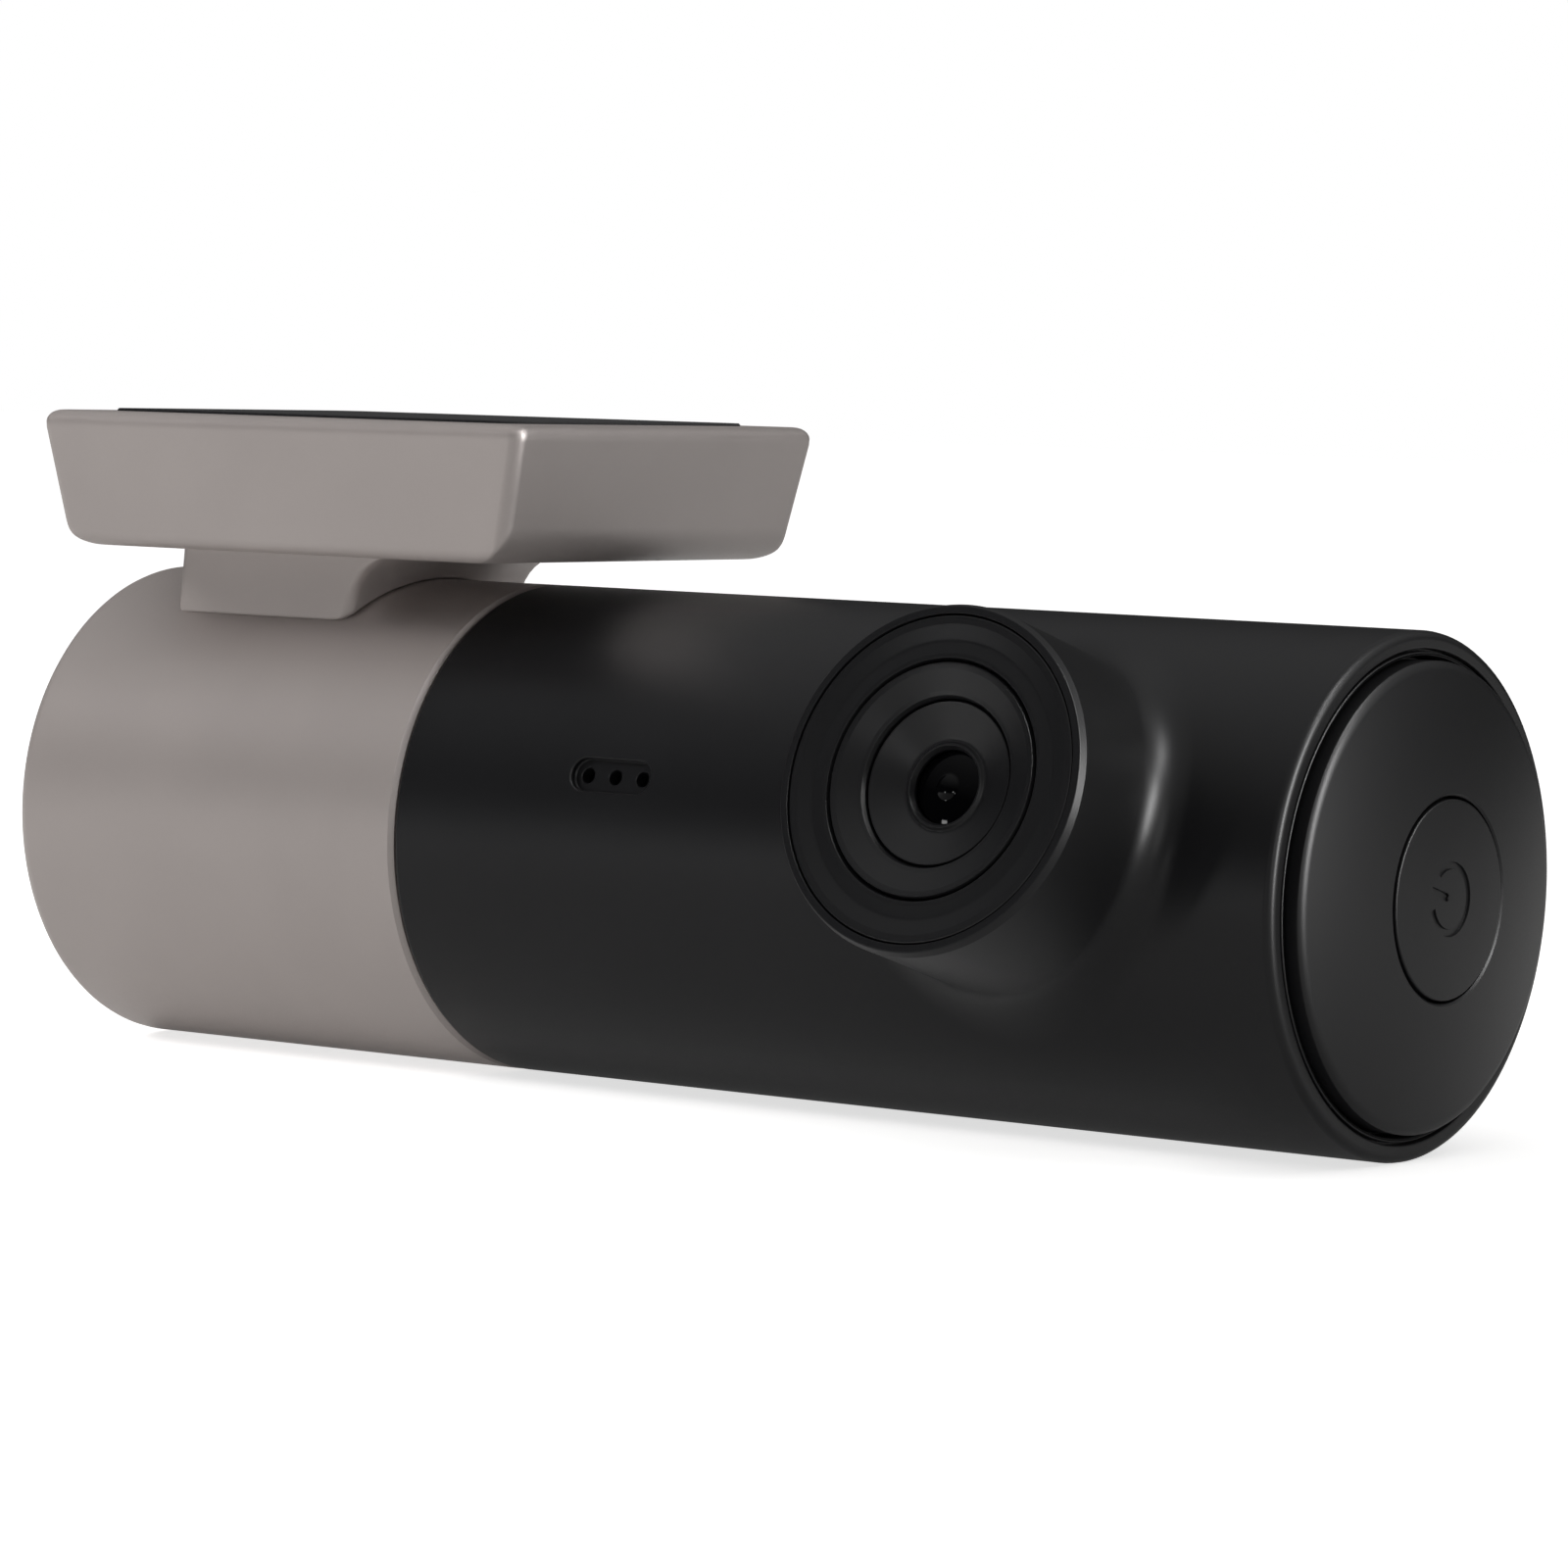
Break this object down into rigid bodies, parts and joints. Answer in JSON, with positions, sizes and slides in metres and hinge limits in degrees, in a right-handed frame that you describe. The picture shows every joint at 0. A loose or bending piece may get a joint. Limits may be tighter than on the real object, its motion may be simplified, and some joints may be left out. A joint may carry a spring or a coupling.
{
  "type": "dash camera",
  "caption": "Cylindrical dash camera that turns in a fixed sleeve under an adhesive windscreen bracket, with a raised lens boss and a power button at one end.",
  "frame": {"origin": "centre of the adhesive pad's top face, where it meets the windscreen", "axes": "+Z out of the pad towards the glass, +X along the body towards the power button, lens looking towards -Y"},
  "size_m": [0.1159, 0.0476, 0.0482],
  "materials": {
    "grey_satin_plastic": "warm grey satin moulding with a fine grain",
    "black_satin_plastic": "black satin moulding with a very fine spark-eroded grain",
    "lens_trim_plastic": "black moulding, fine grain, slightly glossier than the housing",
    "optical_glass": "coated optical glass",
    "black_rubber": "soft black rubber or foam",
    "steel": "bright nickel-plated steel",
    "aluminium": "plain extruded aluminium",
    "brass": "turned brass",
    "circuit_board": "green solder mask over glass laminate",
    "chip_plastic": "dark moulding compound",
    "engineering_nylon": "dark grey glass-filled nylon",
    "connector_plastic": "cream connector plastic",
    "capacitor_sleeve": "blue shrink sleeve"
  },
  "bodies": {
    "mount": {"mount_bracket": "grey_satin_plastic", "adhesive_pad": "black_rubber", "bracket_screw_1": "steel", "bracket_screw_2": "steel", "mount_sleeve": "grey_satin_plastic", "bearing_plate": "engineering_nylon", "bearing_screw_1": "steel", "bearing_screw_2": "steel", "bearing_screw_3": "steel", "usb_c_socket": "steel", "usb_board": "circuit_board", "usb_board_screw_1": "steel", "usb_board_screw_2": "steel", "harness_header": "connector_plastic"},
    "camera": {"main_housing": "black_satin_plastic", "end_cap": "black_satin_plastic", "lens_bezel": "lens_trim_plastic", "lens_inner_ring": "lens_trim_plastic", "lens_face_plate": "lens_trim_plastic", "lens_barrel": "lens_trim_plastic", "lens_front_element": "optical_glass", "lens_middle_element": "optical_glass", "lens_rear_element": "optical_glass", "infrared_filter": "optical_glass", "friction_washer": "black_rubber", "end_cap_seal": "black_rubber", "thermal_pad": "black_rubber", "microphone_gasket": "black_rubber", "speaker_gasket": "black_rubber", "wire_harness": "black_rubber", "wave_spring": "steel", "lens_holder_screw_1": "steel", "lens_holder_screw_2": "steel", "main_board_screw_1": "steel", "main_board_screw_2": "steel", "card_socket": "steel", "wifi_module": "steel", "microphone": "steel", "heat_spreader": "aluminium", "retaining_nut": "brass", "switch_board": "circuit_board", "sensor_board": "circuit_board", "main_board": "circuit_board", "microphone_board": "circuit_board", "tact_switch": "chip_plastic", "image_sensor": "chip_plastic", "processor": "chip_plastic", "memory_chip": "chip_plastic", "speaker": "chip_plastic", "pivot_bulkhead": "engineering_nylon", "inner_chassis": "engineering_nylon", "lens_holder": "engineering_nylon", "harness_plug": "connector_plastic", "sensor_connector": "connector_plastic", "supercapacitor_1": "capacitor_sleeve", "supercapacitor_2": "capacitor_sleeve"},
    "power_button": {"power_button": "black_satin_plastic"},
    "memory_card": {"memory_card": "chip_plastic"}
  },
  "joints": [
    {"name": "camera_turn", "type": "hinge", "parent": "mount", "child": "camera", "pos_m": [0, 0, -0.0302], "axis": [-1, 0, 0], "range_deg": [-120, 75]},
    {"name": "power_press", "type": "slide", "parent": "camera", "child": "power_button", "axis": [-1, 0, 0], "range_m": [0, 0.0004], "stiffness_N_per_m": 1200, "springref_m": -0.0003},
    {"name": "card_slide", "type": "slide", "parent": "camera", "child": "memory_card", "axis": [0, -0.2823, -0.9593], "range_m": [0, 0.015]}
  ]
}
